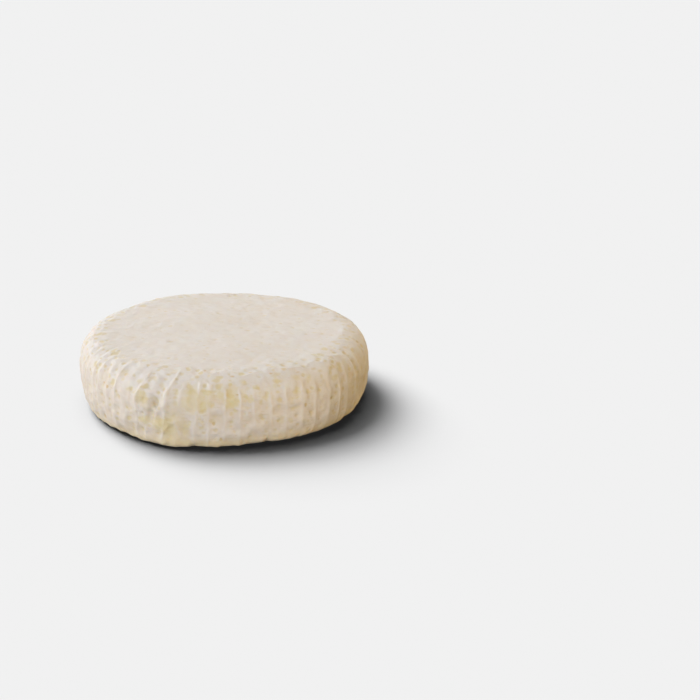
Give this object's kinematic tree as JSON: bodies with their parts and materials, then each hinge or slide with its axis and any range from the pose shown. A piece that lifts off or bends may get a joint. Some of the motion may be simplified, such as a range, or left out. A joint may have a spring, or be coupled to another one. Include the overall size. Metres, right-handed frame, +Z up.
{
  "type": "cheese wheel",
  "caption": "Whole uncut soft-ripened cheese wheel, low and round, with a rounded shoulder and a ribbed, dented wall under a pale bloomy rind.",
  "frame": {"origin": "middle of the wheel's outline box, on the flat base that it stands on", "axes": "+Z up through the wheel's low height, -Y towards the side with the creased hollow, +X to its right"},
  "size_m": [0.1814, 0.1792, 0.0455],
  "materials": {
    "rind": "matt, velvety cream-white bloom with straw-yellow pits in the panels between the ribs"
  },
  "bodies": {
    "root": {"cheese_wheel": "rind"}
  },
  "joints": []
}
